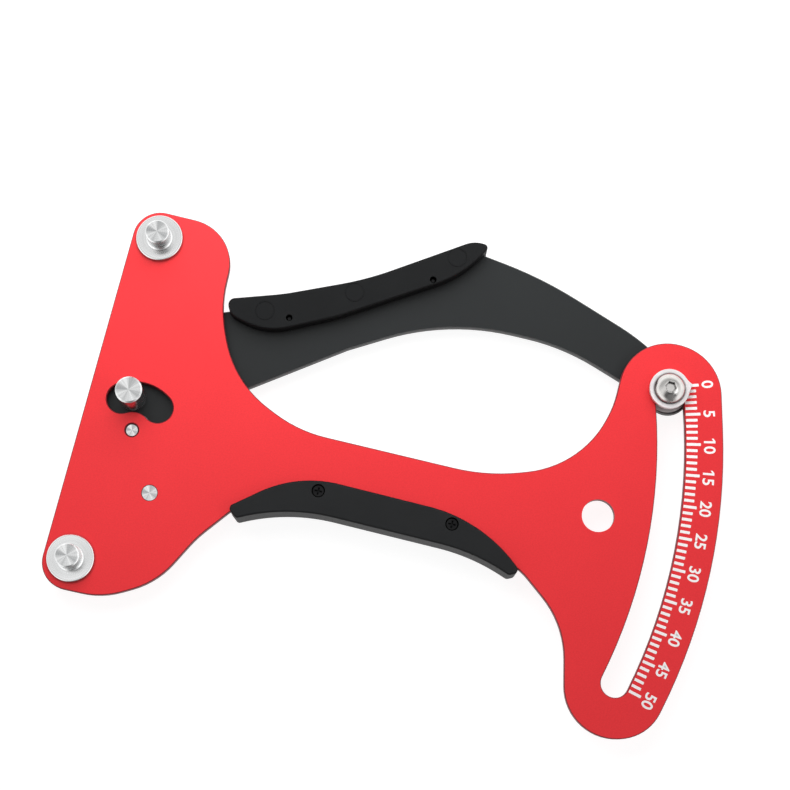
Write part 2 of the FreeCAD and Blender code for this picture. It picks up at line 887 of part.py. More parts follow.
def arm_plate():
    body = sub_part("arm_plate", z=arm_level)
    outline = new_sketch(body, "arm_outline")
    add_outline(outline, arm_plate_corners())
    blank = pad(body, outline, size.plate_thickness)
    front = break_edges(body, "Chamfer", blank, mm.plate_thickness, size.plate_chamfer)
    break_edges(body, "Chamfer", front, 0, size.plate_chamfer)

    holes = new_sketch(body, "arm_holes")
    add_circle(holes, NOTHING, NOTHING, size.pivot_radius + size.pivot_clearance)
    add_circle(holes, *moving_post_place(), size.post_screw_radius + size.screw_hole_clearance)
    add_circle(
        holes, size.arm_spring_x, size.arm_spring_y, size.arm_rivet_radius + size.seat_clearance
    )
    add_circle(holes, *pointer_place(), size.pointer_screw_radius + size.pointer_hole_clearance)
    add_circles_at(holes, UPPER_SCREW_SHARES, size.grip_screw_radius + size.grip_hole_clearance)
    pocket(body, holes, size.plate_thickness)


def moving_post():
    x, y = moving_post_place()
    body = sub_part("moving_post", x, y, arm_level + size.plate_thickness)
    profile = new_sketch(body, "moving_post_profile", "XZ_Plane")
    top = size.moving_post_height
    radius = size.moving_post_radius
    add_profile(
        profile,
        [
            (NOTHING, NOTHING),
            (radius - size.post_edge_break, NOTHING),
            (radius, size.post_edge_break),
            (radius, top - size.stub_chamfer),
            (radius - size.stub_chamfer, top),
            (NOTHING, top),
        ],
    )
    revolve(body, profile)
    tapped = new_sketch(body, "moving_post_hole")
    add_circle(tapped, NOTHING, NOTHING, size.post_screw_radius + size.thread_clearance)
    pocket(body, tapped, size.post_screw_length - size.plate_thickness + size.tapped_hole_spare)
    sub_parts.append(post_screw("moving_post_screw", x, y, arm_level))


def pointer_stack():
    """Nut, arm, washers, bush, pointer and screw, one on the other at the arm's far end."""
    x, y = pointer_place()
    bore = size.pointer_screw_radius + size.pointer_hole_clearance
    arm_front = arm_level + size.plate_thickness
    washer_thickness = size.plate_gap - size.running_gap
    bush_bottom = arm_front + washer_thickness
    bush_top = plate_level + size.plate_thickness + size.running_gap
    pointer_bottom = bush_top + size.pointer_washer_thickness
    pointer_top = pointer_bottom + size.pointer_thickness
    ring("slot_washer", (x, y, arm_front), size.slot_washer_radius, bore, washer_thickness)
    ring("slot_bush", (x, y, bush_bottom), size.bush_radius, bore, bush_top - bush_bottom)
    ring(
        "pointer_washer",
        (x, y, bush_top),
        size.pointer_washer_radius,
        bore,
        size.pointer_washer_thickness,
    )

    pointer = sub_part("pointer", x, y, pointer_bottom)
    pointer_angle = size.rest_angle + size.pointer_turn
    pointer.setExpression(".Placement.Rotation.Angle", pointer_angle.formula)
    disc = new_sketch(pointer, "pointer_outline")
    add_disc_with_tip(disc, mm.pointer_disc_radius, mm.pointer_tip_reach, mm.pointer_flank_radius)
    pad(pointer, disc, size.pointer_thickness)
    hole = new_sketch(pointer, "pointer_hole")
    add_circle(hole, NOTHING, NOTHING, bore)
    pocket(pointer, hole, size.pointer_thickness)

    sub_parts.append(
        button_screw(
            "pointer_screw",
            (x, y, pointer_top),
            (size.pointer_screw_radius, size.pointer_screw_length),
            (size.pointer_head_radius, size.pointer_head_height),
            (size.pointer_socket_flats, size.pointer_socket_depth),
            head_up=True,
        )
    )

    nut = sub_part("pointer_nut", x, y, arm_level - size.nut_height)
    flats = new_sketch(nut, "nut_outline")
    add_hexagon(flats, NOTHING, NOTHING, size.nut_across_flats)
    pad(nut, flats, size.nut_height)
    thread = new_sketch(nut, "nut_thread")
    add_circle(thread, NOTHING, NOTHING, size.pointer_screw_radius + size.thread_clearance)
    pocket(nut, thread, size.nut_height)
    bevel = new_sketch(nut, "nut_bevel", "XZ_Plane")
    corner = size.nut_across_flats * 0.6
    flat = size.nut_across_flats * 0.5
    add_profile(bevel, [(flat, NOTHING), (corner, NOTHING), (corner, (corner - flat) * BEVEL_RISE)])
    groove(nut, bevel)


# The grips, each two moulded halves over a plate's edge.
def grip_half(label, shares, plate_corners, level, screw_shares, front, heads):
    """One half of a grip. Its inner plane is the middle of the plate."""
    body = sub_part(label, z=level)
    half_plate = size.plate_thickness * 0.5
    depth = half_plate + size.grip_cover
    face = depth if front else -depth
    outline = new_sketch(body, label + "_outline")
    add_outline(outline, from_shares(shares))
    pad(body, outline, depth, down=not front)
    seat = new_sketch(body, label + "_seat")
    add_outline(seat, grown(plate_corners, mm.grip_fit))
    cut = pocket(body, seat, half_plate, up=front)
    break_edges(body, "Fillet", cut, face.number, size.grip_edge_round)

    clearance = size.grip_hole_clearance if heads else size.pilot_clearance
    holes = new_sketch(body, label + "_holes")
    add_circles_at(holes, screw_shares, size.grip_screw_radius + clearance)
    pocket(body, holes, depth, up=front)
    if heads:
        wells = new_sketch(body, label + "_wells", height=face)
        add_circles_at(wells, screw_shares, size.counterbore_radius)
        pocket(body, wells, size.counterbore_depth, up=not front)
    return body, face


def grip_screw(label, x, y, z, head_up):
    """A small cheese-head screw with a cross recess; its seat is at the body's origin."""
    sign = 1 if head_up else -1
    body = new_body(label, x, y, z)
    tip = size.grip_screw_length * -sign
    head = size.grip_head_height * sign
    profile = new_sketch(body, label + "_profile", "XZ_Plane")
    add_profile(
        profile,
        [
            (NOTHING, tip),
            (size.grip_screw_radius * 0.5, tip),
            (size.grip_screw_radius, tip + size.grip_screw_radius * sign),
            (size.grip_screw_radius, NOTHING),
            (size.grip_head_radius, NOTHING),
            (size.grip_head_radius, head - size.edge_break * sign),
            (size.grip_head_radius - size.edge_break, head),
            (NOTHING, head),
        ],
    )
    revolve(body, profile)
    recess = new_sketch(body, label + "_recess", height=head)
    add_cross(recess, size.grip_head_radius * 0.62, size.recess_width * 0.5)
    pocket(body, recess, size.recess_depth, up=not head_up)
    return body


def grip(name, shares, plate_corners, level, screw_shares, heads_in_front):
    """A whole grip: two halves and two screws."""
    front, face = grip_half(
        f"{name}_front", shares, plate_corners, level, screw_shares, True, heads_in_front
    )
    grip_half(f"{name}_rear", shares, plate_corners, level, screw_shares, False, not heads_in_front)
    seat = size.plate_thickness * 0.5 + size.grip_cover - size.counterbore_depth
    seat_level = level + seat if heads_in_front else level - seat
    screws = []
    for index, shares_of_place in enumerate(screw_shares, start=1):
        x, y = place_at(shares_of_place)
        screws.append(grip_screw(f"{name}_screw_{index}", x, y, seat_level, heads_in_front))
    group(f"{name}_screws", screws)
    return front, face


def grips():
    grip(
        "lower_grip",
        LOWER_GRIP_SHARES,
        body_plate_corners(),
        plate_middle,
        LOWER_SCREW_SHARES,
        heads_in_front=True,
    )
    front, face = grip(
        "upper_grip",
        UPPER_GRIP_SHARES,
        arm_plate_corners(),
        arm_middle,
        UPPER_SCREW_SHARES,
        heads_in_front=False,
    )
    rings = new_sketch(front, "upper_grip_rings", height=face)
    add_circles_at(rings, RING_SHARES, size.ring_radius)
    add_circles_at(rings, RING_SHARES, size.ring_radius - size.ring_width)
    pocket(front, rings, size.ring_depth, up=False)


# The return spring: one wire with a loop round each post and a coil between them.
def biarc(start, start_direction, end, end_direction):
    """Two arcs that join two points and keep their directions."""
    span = end - start
    both = start_direction + end_direction
    a = 2 * (start_direction.dot(end_direction) - 1)
    b = -2 * span.dot(both)
    c = span.dot(span)
    if abs(a) < 1e-9:
        reach = c / -b
    else:
        reach = (-b - math.sqrt(b * b - 4 * a * c)) / (2 * a)
    joint = (start + end + (start_direction - end_direction) * reach) * 0.5
    first = tangent_arc(start, start_direction, joint)
    second = tangent_arc(end, end_direction * -1, joint)
    return [first, second]


def tangent_arc(start, direction, end):
    """The arc that leaves a point in a direction and meets another point."""
    chord = end - start
    across = direction.cross(chord).cross(direction).normalize()
    radius = chord.dot(chord) / (2 * chord.dot(across))
    centre = start + across * radius
    towards = ((start - centre) + (end - centre)).normalize()
    return Part.Arc(start, centre + towards * radius, end)


def spring_route():
    """The wire's centre line as joined arcs, in the plane frame about the pivot."""
    first = FreeCAD.Vector(mm.arm_spring_x, mm.arm_spring_y, mm.spring_axis_height)
    last = FreeCAD.Vector(mm.body_spring_x, mm.body_spring_y, mm.spring_axis_height)
    along = (last - first).normalize()
    up = FreeCAD.Vector(0, 0, 1)
    side = up.cross(along)
    length = (last - first).Length
    loop_radius = mm.spring_groove_radius + mm.wire_radius + mm.loop_clearance
    coil_start = mm.coil_shoulder
    coil_length = length - 2 * mm.coil_shoulder

    def on_loop(centre, turn):
        """Point and direction on a loop, from its far end, anticlockwise seen from above."""
        angle = math.radians(turn)
        outward = along * math.cos(angle) + side * math.sin(angle)
        direction = side * math.cos(angle) - along * math.sin(angle)
        return centre + outward * loop_radius, direction

    def on_coil(turn):
        angle = 2 * math.pi * turn
        pitch = coil_length / COIL_TURNS
        centre = first + along * (coil_start + pitch * turn)
        point = centre + (up * math.cos(angle) + side * math.sin(angle)) * mm.coil_radius
        around = (side * math.cos(angle) - up * math.sin(angle)) * (2 * math.pi * mm.coil_radius)
        return point, (around + along * pitch).normalize()

    stations = []
    for turn in (-40, -110, -180, -250):
        point, direction = on_loop(first, turn)
        stations.append((point, direction * -1))
    for quarter in range(4 * COIL_TURNS + 1):
        stations.append(on_coil(quarter / 4))
    for turn in (70, 0, -70, -140):
        point, direction = on_loop(last, turn)
        stations.append((point, direction * -1))

    arcs = []
    for (start, leaving), (end, arriving) in zip(stations[:-1], stations[1:]):
        arcs.extend(biarc(start, leaving, end, arriving))
    return arcs


def least_gap(arcs):
    """The least distance between stretches of wire that aren't neighbours."""
    step = mm.wire_radius * 0.5
    points = []
    for arc in arcs:
        count = max(2, int(arc.length() / step))
        points.extend(arc.discretize(Number=count)[:-1])
    ignore = int(4 * mm.coil_radius / step)
    gap = float("inf")
    for index, point in enumerate(points):
        for other in points[index + ignore:]:
            gap = min(gap, point.distanceToPoint(other))
    return gap - 2 * mm.wire_radius


def return_spring():
    arcs = spring_route()
    path = Part.Wire([arc.toShape() for arc in arcs])
    start = arcs[0].value(arcs[0].FirstParameter)
    direction = arcs[0].tangent(arcs[0].FirstParameter)[0]
    section = Part.Wire([Part.Circle(start, direction, mm.wire_radius).toShape()])
    wire = path.makePipeShell([section], True, False)
    spring = doc.addObject("Part::Feature", "return_spring")
    spring.Label = "return_spring"
    spring.Shape = wire
    sub_parts.append(spring)
    places.append((spring, NOTHING, NOTHING, NOTHING))
    expected = math.pi * mm.wire_radius**2 * path.Length
    print(f"spring wire {path.Length:.1f} mm, volume {wire.Volume:.2f} of {expected:.2f}")
    print(f"spring least gap to itself {least_gap(arcs):.2f} mm")


# Placing, checking and writing.
def place_all():
    """The origin goes to the middle of the outline, on the plane that the tool lies on."""
    for row, alias in enumerate(("centre_x", "centre_y"), start=len(SIZES) + 1):
        sheet.set(f"A{row}", alias)
        sheet.set(f"B{row}", "0")
        sheet.setAlias(f"B{row}", alias)
    doc.recompute()
    for piece, x, y, z in places:
        piece.setExpression(".Placement.Base.x", f"{x.formula} - Sizes.centre_x")
        piece.setExpression(".Placement.Base.y", f"{y.formula} - Sizes.centre_y")
        piece.setExpression(".Placement.Base.z", z.formula)
    doc.recompute()
    box = FreeCAD.BoundBox()
    for piece in sub_parts:
        box.add(piece.Shape.optimalBoundingBox(False, False))
    sheet.set(f"B{len(SIZES) + 1}", str(round(box.Center.x, 4)))
    sheet.set(f"B{len(SIZES) + 2}", str(round(box.Center.y, 4)))
    doc.recompute()
    print(f"pivot at {-box.Center.x:.3f}, {-box.Center.y:.3f}")
    print(f"overall {box.XLength:.2f} x {box.YLength:.2f} x {box.ZLength:.2f} mm")


def check_all():
    for item in doc.Objects:
        if "Invalid" in item.State or "Error" in item.State:
            raise ValueError(f"{item.Label} is {item.State}")
    for piece in sub_parts:
        if piece.Shape.isNull() or not piece.Shape.isValid() or piece.Shape.Volume <= 0:
            raise ValueError(f"{piece.Label} has a bad shape")


def write_all():
    os.makedirs("parts", exist_ok=True)
    for piece in sub_parts:
        piece.Shape.exportStep(os.path.join("parts", piece.Label + ".step"))
        print(f"{piece.Label}: {len(piece.Shape.Solids)} solids, {piece.Shape.Volume:.1f} mm3")


body_plate()
fixed_post("upper_fixed_post", size.upper_post_rise)
fixed_post("lower_fixed_post", -size.lower_post_drop)
fixed_post_screws()
pivot_pin()
body_spring_post()
arm_plate()
moving_post()
arm_spring_post()
pointer_stack()
grips()
return_spring()
place_all()
check_all()
write_all()
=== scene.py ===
"""Looks of the spoke tension meter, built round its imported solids. Lengths are in metres
unless a name says mm. Places named mm are measured from the arm's pivot axis."""
import json
import math

import bmesh
import bpy
from mathutils import Matrix, Vector


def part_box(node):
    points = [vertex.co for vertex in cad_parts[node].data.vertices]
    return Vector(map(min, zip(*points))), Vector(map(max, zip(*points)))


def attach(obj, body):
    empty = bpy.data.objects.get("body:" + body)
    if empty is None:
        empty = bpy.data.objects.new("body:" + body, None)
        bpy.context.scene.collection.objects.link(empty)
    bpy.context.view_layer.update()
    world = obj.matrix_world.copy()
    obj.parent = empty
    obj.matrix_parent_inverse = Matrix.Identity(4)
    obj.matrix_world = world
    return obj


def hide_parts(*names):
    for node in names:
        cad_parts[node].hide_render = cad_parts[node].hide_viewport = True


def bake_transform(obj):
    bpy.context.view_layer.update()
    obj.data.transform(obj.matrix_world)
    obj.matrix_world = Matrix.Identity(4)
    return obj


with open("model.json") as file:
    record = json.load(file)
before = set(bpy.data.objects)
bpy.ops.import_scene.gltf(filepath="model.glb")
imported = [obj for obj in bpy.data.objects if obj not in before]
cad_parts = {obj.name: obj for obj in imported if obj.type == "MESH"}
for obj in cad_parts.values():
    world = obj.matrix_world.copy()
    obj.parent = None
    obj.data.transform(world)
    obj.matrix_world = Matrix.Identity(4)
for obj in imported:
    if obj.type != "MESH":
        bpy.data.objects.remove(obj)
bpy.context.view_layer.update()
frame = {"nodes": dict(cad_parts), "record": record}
nodes = frame["nodes"]

MM = 0.001
PIVOT_X_MM = -81.066
PIVOT_Y_MM = -13.398
PLATE_TOP_MM = 11.2


def place(x_mm, y_mm, z_mm):
    """A point given about the pivot axis, in the scene's frame."""
    return Vector(((x_mm + PIVOT_X_MM) * MM, (y_mm + PIVOT_Y_MM) * MM, z_mm * MM))


def polar_place(radius_mm, degrees, z_mm):
    angle = math.radians(degrees)
    return place(radius_mm * math.cos(angle), radius_mm * math.sin(angle), z_mm)


# Node graphs
CREVICE_TO_OPEN = (0.35, 0.95)
CREVICE_SAMPLES = 8


class Graph:
    """A material's nodes, added one after another and linked by name."""

    def __init__(self, name):
        self.material = bpy.data.materials.new(name)
        self.material.use_nodes = True
        self.nodes = self.material.node_tree.nodes
        self.links = self.material.node_tree.links
        self.shader = self.nodes["Principled BSDF"]
        self.spot = self.nodes.new("ShaderNodeTexCoord")

    def add(self, kind, inputs=None, **settings):
        node = self.nodes.new(kind)
        for key, value in settings.items():
            setattr(node, key, value)
        for key, value in (inputs or {}).items():
            self.feed(node.inputs[key], value)
        return node

    def feed(self, socket, value):
        if isinstance(value, bpy.types.NodeSocket):
            self.links.new(value, socket)
        else:
            socket.default_value = value

    def set(self, name, value):
        self.feed(self.shader.inputs[name], value)

    def noise(self, size_mm, detail=2.0):
        """Noise whose blotches are about this size."""
        place_in_piece = self.spot.outputs["Object"]
        inputs = {"Vector": place_in_piece, "Scale": 1 / (size_mm * MM), "Detail": detail}
        return self.add("ShaderNodeTexNoise", inputs).outputs["Fac"]

    def spread(self, value, low, high, from_low=0.3, from_high=0.7):
        """A value stretched to a range; the middle of a noise, unless other ends are given."""
        inputs = {
            "Value": value,
            "From Min": from_low,
            "From Max": from_high,
            "To Min": low,
            "To Max": high,
        }
        return self.add("ShaderNodeMapRange", inputs).outputs["Result"]

    def blend_colours(self, share, first, second):
        node = self.add("ShaderNodeMix", data_type="RGBA")
        self.feed(node.inputs["Factor"], share)
        self.feed(node.inputs["A"], first)
        self.feed(node.inputs["B"], second)
        return node.outputs["Result"]

    def maths(self, operation, *values):
        node = self.add("ShaderNodeMath", operation=operation)
        for socket, value in zip(node.inputs, values):
            self.feed(socket, value)
        return node.outputs["Value"]

    def levelness(self):
        """One on level faces and zero on upright walls."""
        tilt = self.add("ShaderNodeSeparateXYZ", {"Vector": self.spot.outputs["Normal"]})
        return self.maths("ABSOLUTE", tilt.outputs["Z"])

    def about_axis(self):
        """A place about the piece's own upright axis, in shares of the piece's box: its three
        parts, its level part and its distance from the axis, which is a half at the rim."""
        centred = self.add(
            "ShaderNodeVectorMath",
            {0: self.spot.outputs["Generated"], 1: (0.5, 0.5, 0.5)},
            operation="SUBTRACT",
        )
        split = self.add("ShaderNodeSeparateXYZ", {"Vector": centred.outputs["Vector"]})
        flat = self.add("ShaderNodeCombineXYZ", {"X": split.outputs["X"], "Y": split.outputs["Y"]})
        length = self.add("ShaderNodeVectorMath", {0: flat.outputs["Vector"]}, operation="LENGTH")
        return split.outputs, flat.outputs["Vector"], length.outputs["Value"]

    def creviced(self, face, reach_mm, shade):
        """A colour with painted shade: made darker where other surfaces come close, standing in for
        their shadow.
        """
        openness = self.add(
            "ShaderNodeAmbientOcclusion", {"Distance": reach_mm * MM}, samples=CREVICE_SAMPLES
        )
        dark = self.add("ShaderNodeVectorMath", {0: face, "Scale": shade}, operation="SCALE")
        cleared = self.spread(openness.outputs["AO"], 0, 1, *CREVICE_TO_OPEN)
        return self.blend_colours(cleared, dark.outputs["Vector"], face)

    def bump(self, height, depth_mm, strength):
        inputs = {"Height": height, "Distance": depth_mm * MM, "Strength": strength}
        return self.add("ShaderNodeBump", inputs).outputs["Normal"]


def colour(red, green, blue):
    """A colour as a picture program writes it, from 0 to 255, made linear."""
    values = []
    for part in (red, green, blue):
        share = part / 255
        values.append(share / 12.92 if share <= 0.04045 else ((share + 0.055) / 1.055) ** 2.4)
    return (*values, 1.0)


# Materials. Each range tells two kinds of place apart: by how level a face is, by its height in
# the piece's box or by its distance from the piece's axis.
WALL_TO_CHAMFER = (0.2, 0.4)
CHAMFER_TO_FACE = (0.8, 0.9)
MOULDED_WALL_TO_FACE = (0.9, 0.98)
BARREL_TO_END_FACE = (0.47, 0.48)
FACE_TO_RIM = (0.44, 0.485)
FULL_WAVE = (-1, 1)
FAN_WEDGES = 4.0


def anodised(name, light, dark, chamfer_painted_light, wall_painted_shade, metallic, roughness, grain_mm):
    """Blasted and anodised aluminium: a fine grain, a painted highlight or painted shade on the
    chamfers as each material gives it, painted shade on the walls, and painted shade where other
    surfaces come close.
    """
    graph = Graph(name)
    grain = graph.noise(grain_mm)
    cloud = graph.noise(size_mm=18, detail=3)
    mixed = graph.maths("ADD", graph.spread(grain, 0, 0.8), graph.spread(cloud, 0, 0.2))
    face = graph.blend_colours(mixed, dark, light)
    level = graph.levelness()
    # Painted light: chamfers and walls take colours that stand in for how light falls on them, not
    # colours of the metal.
    side = graph.blend_colours(graph.spread(level, 0, 1, *WALL_TO_CHAMFER), wall_painted_shade, chamfer_painted_light)
    tone = graph.blend_colours(graph.spread(level, 0, 1, *CHAMFER_TO_FACE), side, face)
    # Painted shade: the colour is darkened where other surfaces come close.
    graph.set("Base Color", graph.creviced(tone, reach_mm=0.9, shade=0.45))
    graph.set("Metallic", metallic)
    graph.set("Roughness", graph.spread(grain, roughness - 0.05, roughness + 0.05))
    graph.set("Normal", graph.bump(grain, depth_mm=0.012, strength=0.6))
    return graph.material


def moulded(name, light, dark, wall_painted_shade, roughness):
    """Glass-filled nylon with the fine spark-eroded texture of its mould, and painted shade on its
    walls.
    """
    graph = Graph(name)
    fine = graph.noise(size_mm=0.22, detail=3)
    cloud = graph.noise(size_mm=9, detail=2)
    mixed = graph.maths("ADD", graph.spread(fine, 0, 0.7), graph.spread(cloud, 0, 0.3))
    face = graph.blend_colours(mixed, dark, light)
    top_share = graph.spread(graph.levelness(), 0, 1, *MOULDED_WALL_TO_FACE)
    # Painted shade: walls take a darker colour than the level faces.
    graph.set("Base Color", graph.blend_colours(top_share, wall_painted_shade, face))
    graph.set("Roughness", graph.spread(fine, roughness - 0.06, roughness + 0.06))
    graph.set("Specular IOR Level", 0.25)
    graph.set("Normal", graph.bump(fine, depth_mm=0.02, strength=0.7))
    return graph.material


def spun_fan(graph, parts, flat):
    """Painted light: the wedges of light and shade on a spun end face, as a share that is darkened."""
    azimuth = graph.maths("ARCTAN2", parts["Y"], parts["X"])
    lag = graph.spread(graph.maths("COSINE", azimuth), 0, 1.2, *FULL_WAVE)
    wedges = graph.maths("COSINE", graph.maths("MULTIPLY_ADD", azimuth, FAN_WEDGES, lag))
    direction = graph.add("ShaderNodeVectorMath", {0: flat}, operation="NORMALIZE")
    streaks = graph.add(
        "ShaderNodeTexNoise",
        {"Vector": direction.outputs["Vector"], "Scale": 3.0, "Detail": 2.0},
        noise_dimensions="2D",
    ).outputs["Fac"]
    strength = graph.spread(graph.maths("SINE", azimuth), 0.35, 1, -1, 0)
    waves = graph.maths("MULTIPLY", graph.spread(wedges, -0.1, 0.6, -0.8, 1.1), strength)
    shade = graph.maths("ADD", waves, graph.spread(streaks, -0.12, 0.2))
    on_end_face = graph.spread(parts["Z"], 0, 1, *BARREL_TO_END_FACE)
    return graph.maths("MULTIPLY", shade, on_end_face)


def turned(name, light, dark, roughness, grooves):
    """Steel or aluminium off the lathe: rings round its axis, and a sheen that fans out, partly from
    its anisotropic reflection and partly painted into its colour.
    """
    graph = Graph(name)
    parts, flat, radius = graph.about_axis()
    along = graph.add("ShaderNodeCombineXYZ", {"X": radius, "Y": parts["Z"]})
    rings = graph.add(
        "ShaderNodeTexNoise",
        {"Vector": along.outputs["Vector"], "Scale": grooves, "Detail": 3.0},
        noise_dimensions="2D",
    ).outputs["Fac"]
    fan = spun_fan(graph, parts, flat)
    # The fan's painted light and shade is taken off the colour here.
    mixed = graph.maths("SUBTRACT", graph.spread(rings, 0.6, 1.0), fan)
    graph.set("Base Color", graph.blend_colours(mixed, dark, light))
    graph.set("Metallic", 1.0)
    graph.set("Roughness", graph.spread(rings, roughness - 0.05, roughness + 0.06))
    graph.set("Anisotropic", 0.6)
    tangent = graph.add("ShaderNodeTangent", direction_type="RADIAL", axis="Z")
    graph.set("Tangent", tangent.outputs["Tangent"])
    graph.set("Normal", graph.bump(rings, depth_mm=0.003, strength=0.4))
    return graph.material


def plated(name, light, dark, metallic, roughness, rim=None):
    """Smooth plated or polished steel with faint handling marks and painted shade in crevices; a rim
    may be given painted shade.
    """
    graph = Graph(name)
    haze = graph.noise(size_mm=3, detail=2)
    face = graph.blend_colours(graph.spread(haze, 0, 1), dark, light)
    if rim is not None:
        *_, radius = graph.about_axis()
        # Painted shade: a darker ring at the rim.
        at_rim = graph.spread(radius, 0, 1, *FACE_TO_RIM)
        face = graph.blend_colours(at_rim, face, rim)
    # Painted shade where other surfaces come close.
    graph.set("Base Color", graph.creviced(face, reach_mm=0.7, shade=0.2))
    graph.set("Metallic", metallic)
    graph.set("Roughness", graph.spread(haze, roughness - 0.04, roughness + 0.07))
    return graph.material


def printed(name, ink):
    """Screen-printed ink, a little uneven in cover."""
    graph = Graph(name)
    cover = graph.noise(size_mm=0.3, detail=2)
    thin_ink = (*(part * 0.95 for part in ink[:3]), 1.0)
    graph.set("Base Color", graph.blend_colours(graph.spread(cover, 0, 1), thin_ink, ink))
    graph.set("Roughness", graph.spread(cover, 0.45, 0.6))
    graph.set("Normal", graph.bump(cover, depth_mm=0.004, strength=0.5))
    return graph.material


MATERIALS = {
    "red_anodised": anodised(
        "red_anodised",
        light=colour(238, 50, 56),
        dark=colour(227, 43, 49),
        # Painted shade on the red plate's chamfers and walls.
        chamfer_painted_light=colour(140, 28, 36),
        wall_painted_shade=colour(110, 22, 28),
        metallic=0.2,
        roughness=0.5,
        grain_mm=0.45,
    ),
    "black_anodised": anodised(
        "black_anodised",
        light=colour(28, 31, 32),
        dark=colour(22, 24, 25),
        # A painted highlight on the arm's chamfers and painted shade on its walls.
        chamfer_painted_light=colour(92, 93, 93),
        wall_painted_shade=colour(10, 11, 12),
        metallic=0.1,
        roughness=0.5,
        grain_mm=0.35,
    ),
    "grip_plastic": moulded(
        "grip_plastic",
        light=colour(31, 32, 33),
        dark=colour(23, 24, 25),
        # Painted shade on the grips' walls.
        wall_painted_shade=colour(15, 15, 16),
        roughness=0.6,
    ),
    "turned_steel": turned(
        "turned_steel",
        light=colour(248, 249, 249),
        dark=colour(165, 167, 168),
        roughness=0.22,
        grooves=110,
    ),
    "fastener_steel": plated(
        "fastener_steel",
        light=colour(238, 234, 234),
        dark=colour(224, 220, 220),
        metallic=0.4,
        roughness=0.35,
    ),
    "pointer_steel": plated(
        "pointer_steel",
        light=colour(240, 235, 236),
        dark=colour(228, 223, 224),
        metallic=0.4,
        roughness=0.4,
    ),
    "black_steel": plated(
        "black_steel",
        light=colour(52, 52, 53),
        dark=colour(34, 34, 35),
        metallic=1.0,
        roughness=0.35,
    ),
    "spring_wire": plated(
        "spring_wire",
        light=colour(170, 168, 164),
        dark=colour(120, 118, 115),
        metallic=1.0,
        roughness=0.3,
    ),
}
PRINT = printed("scale_print", colour(255, 250, 250))
# A shaded copy of the grip plastic: darker throughout as painted shade, with painted shade on its walls
# too.
SHADED_GRIP_PLASTIC = moulded(
    "shaded_grip_plastic",
    light=colour(20, 21, 22),
    dark=colour(13, 14, 15),
    wall_painted_shade=colour(11, 11, 12),
    roughness=0.6,
)
DOME_STEEL = plated(
    "dome_steel",
    light=colour(226, 224, 221),
    dark=colour(206, 204, 202),
    metallic=1.0,
    roughness=0.2,
    # Painted shade: the dark ring round the head's rim.
    rim=colour(105, 102, 102),
)


def give(piece, material):
    piece.data.materials.clear()
    piece.data.materials.append(material)


def dress_nodes():
    """Each solid's own finish; the upper grip gets a darker copy of the grip plastic as painted shade.
    """
    for subpart in frame["record"]["subparts"]:
        give(nodes[subpart["node"]], MATERIALS[subpart["material_slot"]])
    for name, node in nodes.items():
        # Painted shade: the upper grip's plastic is the darker copy.
        if name.startswith("upper_grip") and "screw" not in name:
            give(node, SHADED_GRIP_PLASTIC)


def new_piece(name, mesh, material, smooth=False):
    """A visible piece made from a mesh, with one material."""
    piece = bpy.data.objects.new(name, mesh)
    bpy.context.scene.collection.objects.link(piece)
    give(piece, material)
    if smooth:
        for face in mesh.polygons:
            face.use_smooth = True
    return piece


def evaluated_mesh(line):
    """The mesh that a curve or a text makes; the curve's own object is taken away again."""
    carrier = bpy.data.objects.new("line", line)
    bpy.context.scene.collection.objects.link(carrier)
    seen = carrier.evaluated_get(bpy.context.evaluated_depsgraph_get())
    mesh = bpy.data.meshes.new_from_object(seen)
    bpy.data.objects.remove(carrier)
    return mesh


# The printed scale
SCALE_STEPS = 50
NUMBER_EVERY = 5
PRINT_THICKNESS_MM = 0.02
MARK_WIDTH_MM = 0.85
MARK_INNER_MM = 166.6
MARK_CUT_MM = 0.12
SHORTER_MM = 0.95
FIRST_MARK_ANGLE = 18.6
STEP_ANGLE = 0.664
FIRST_MARKS_WIDER = 0.77
FIRST_MARKS_FADE = 9
LONG_MARK_OUTER_MM = 170.4
LONG_MARK_GROWTH_MM = 0.0006
SHORTEST_STEP = 38
DIGIT_HEIGHT_MM = 3.5
FONT_HEIGHT_SHARE = 0.73
STROKE_ADDED_MM = 0.09
FLAG_WIDTH_MM = 0.8
FLAG_SHARES = [(0, 0), (-1, -0.75), (-1, -1.45), (0, -0.8)]
NUMBER_BEYOND_MM = 2.45


def mark_angle(step):
    """Where a mark stands, in degrees; the first few are a little wider apart."""
    widening = FIRST_MARKS_WIDER * (1 - math.exp(-step / FIRST_MARKS_FADE))
    return FIRST_MARK_ANGLE - STEP_ANGLE * step + widening


def long_mark_top(step):
    """How far out a long mark reaches; those near the scale's ends reach a little further."""
    return LONG_MARK_OUTER_MM + LONG_MARK_GROWTH_MM * (SHORTEST_STEP - step) ** 2


def close_prism(work, lower, upper):
    """The faces of a prism between two rows of points that run anticlockwise."""
    work.faces.new(upper)
    work.faces.new(reversed(lower))
    for index in range(len(lower)):
        after = (index + 1) % len(lower)
        work.faces.new([lower[index], lower[after], upper[after], upper[index]])


